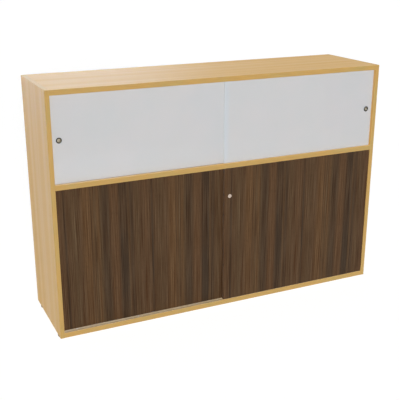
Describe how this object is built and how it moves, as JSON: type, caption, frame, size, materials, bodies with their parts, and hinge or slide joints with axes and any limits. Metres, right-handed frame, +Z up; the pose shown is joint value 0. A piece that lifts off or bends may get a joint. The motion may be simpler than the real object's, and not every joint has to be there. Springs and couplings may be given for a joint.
{
  "type": "room divider cabinet",
  "caption": "Low room divider cabinet: pale wood-decor carcass on glides, sliding frosted panes above lockable sliding walnut doors, finished on all sides.",
  "frame": {"origin": "on the floor, at the middle of the cabinet's footprint", "axes": "+X along the width to the viewer's right, +Y from the front to the back, +Z up"},
  "size_m": [1.6, 0.42, 1.088],
  "materials": {
    "carcass_decor": "satin melamine",
    "carcass_edging": "satin ABS edging",
    "door_decor": "satin melamine",
    "door_edging": "satin ABS edging",
    "frosted_glass": "satin etched",
    "pull_metal": "dark bronze",
    "pull_nickel": "satin nickel",
    "rail_plastic": "extruded, matched to the decor",
    "fastener_steel": "zinc plated",
    "dowel_wood": "raw beech",
    "lock_nickel": "satin nickel",
    "glide_plastic": "moulded",
    "fitting_plastic": "moulded",
    "roller_nylon": "moulded nylon",
    "buffer_rubber": "clear polyurethane"
  },
  "bodies": {
    "carcass": {"left_side_panel": "carcass_decor", "right_side_panel": "carcass_decor", "top_panel": "carcass_decor", "bottom_panel": "carcass_decor", "middle_shelf": "carcass_decor", "upper_back_panel": "carcass_decor", "lower_back_panel": "carcass_decor", "upper_partition": "carcass_decor", "lower_partition": "carcass_decor", "left_inner_shelf": "carcass_decor", "right_inner_shelf": "carcass_decor", "left_side_edge_bands": "carcass_edging", "right_side_edge_bands": "carcass_edging", "top_edge_bands": "carcass_edging", "bottom_edge_bands": "carcass_edging", "middle_shelf_edge_bands": "carcass_edging", "partition_edge_bands": "carcass_edging", "inner_shelf_edge_bands": "carcass_edging", "glass_bottom_channel": "rail_plastic", "glass_top_channel": "rail_plastic", "door_bottom_rail": "rail_plastic", "door_top_rail": "rail_plastic", "shelf_pins": "fastener_steel", "cam_housings": "fastener_steel", "cam_bolts": "fastener_steel", "rail_screws": "fastener_steel", "glide_nails": "fastener_steel", "dowels": "dowel_wood", "floor_glides": "glide_plastic", "leaf_buffers": "buffer_rubber"},
    "left_door": {"left_door_panel": "door_decor", "left_door_edge_bands": "door_edging", "left_door_roller_carriers": "fitting_plastic", "left_door_axles": "fastener_steel", "left_door_top_guides": "fitting_plastic", "lock_strike": "fastener_steel", "strike_screws": "fastener_steel"},
    "left_pane": {"left_glass_pane": "frosted_glass", "left_pull_sleeve": "pull_metal", "left_pull_cup": "pull_nickel", "left_pull_ring": "pull_metal"},
    "left_door_outer_roller": {"left_door_outer_roller": "roller_nylon"},
    "left_door_inner_roller": {"left_door_inner_roller": "roller_nylon"},
    "right_door": {"right_door_panel": "door_decor", "right_door_edge_bands": "door_edging", "right_door_roller_carriers": "fitting_plastic", "right_door_axles": "fastener_steel", "right_door_top_guides": "fitting_plastic", "lock_housing": "lock_nickel", "lock_nut": "fastener_steel"},
    "right_pane": {"right_glass_pane": "frosted_glass", "right_pull_sleeve": "pull_metal", "right_pull_cup": "pull_nickel", "right_pull_ring": "pull_metal"},
    "right_door_outer_roller": {"right_door_outer_roller": "roller_nylon"},
    "right_door_inner_roller": {"right_door_inner_roller": "roller_nylon"},
    "lock_rotor": {"lock_plug": "lock_nickel", "lock_cam": "fastener_steel"}
  },
  "joints": [
    {"name": "left_pane_slide", "type": "slide", "parent": "carcass", "child": "left_pane", "axis": [1, 0, 0], "range_m": [0, 0.7675]},
    {"name": "left_door_slide", "type": "slide", "parent": "carcass", "child": "left_door", "axis": [1, 0, 0], "range_m": [0, 0.7675]},
    {"name": "left_door_outer_roller_spin", "type": "hinge", "parent": "left_door", "child": "left_door_outer_roller", "pos_m": [-0.6895, -0.179, 0.0363], "axis": [0, 1, 0], "continuous": true},
    {"name": "left_door_inner_roller_spin", "type": "hinge", "parent": "left_door", "child": "left_door_inner_roller", "pos_m": [-0.078, -0.179, 0.0363], "axis": [0, 1, 0], "continuous": true},
    {"name": "right_pane_slide", "type": "slide", "parent": "carcass", "child": "right_pane", "axis": [1, 0, 0], "range_m": [-0.7675, 0]},
    {"name": "right_door_slide", "type": "slide", "parent": "carcass", "child": "right_door", "axis": [1, 0, 0], "range_m": [-0.7675, 0]},
    {"name": "right_door_outer_roller_spin", "type": "hinge", "parent": "right_door", "child": "right_door_outer_roller", "pos_m": [0.6895, -0.2, 0.0363], "axis": [0, 1, 0], "continuous": true},
    {"name": "right_door_inner_roller_spin", "type": "hinge", "parent": "right_door", "child": "right_door_inner_roller", "pos_m": [0.078, -0.2, 0.0363], "axis": [0, 1, 0], "continuous": true},
    {"name": "lock_turn", "type": "hinge", "parent": "right_door", "child": "lock_rotor", "pos_m": [0.014, -0.2, 0.545], "axis": [0, -1, 0], "range_deg": [0, 90]}
  ],
  "couplings": [
    {"joint": "left_door_outer_roller_spin", "follows": "left_door_slide", "rad_per_m": 111.11},
    {"joint": "left_door_inner_roller_spin", "follows": "left_door_slide", "rad_per_m": 111.11},
    {"joint": "right_door_outer_roller_spin", "follows": "right_door_slide", "rad_per_m": 111.11},
    {"joint": "right_door_inner_roller_spin", "follows": "right_door_slide", "rad_per_m": 111.11}
  ]
}
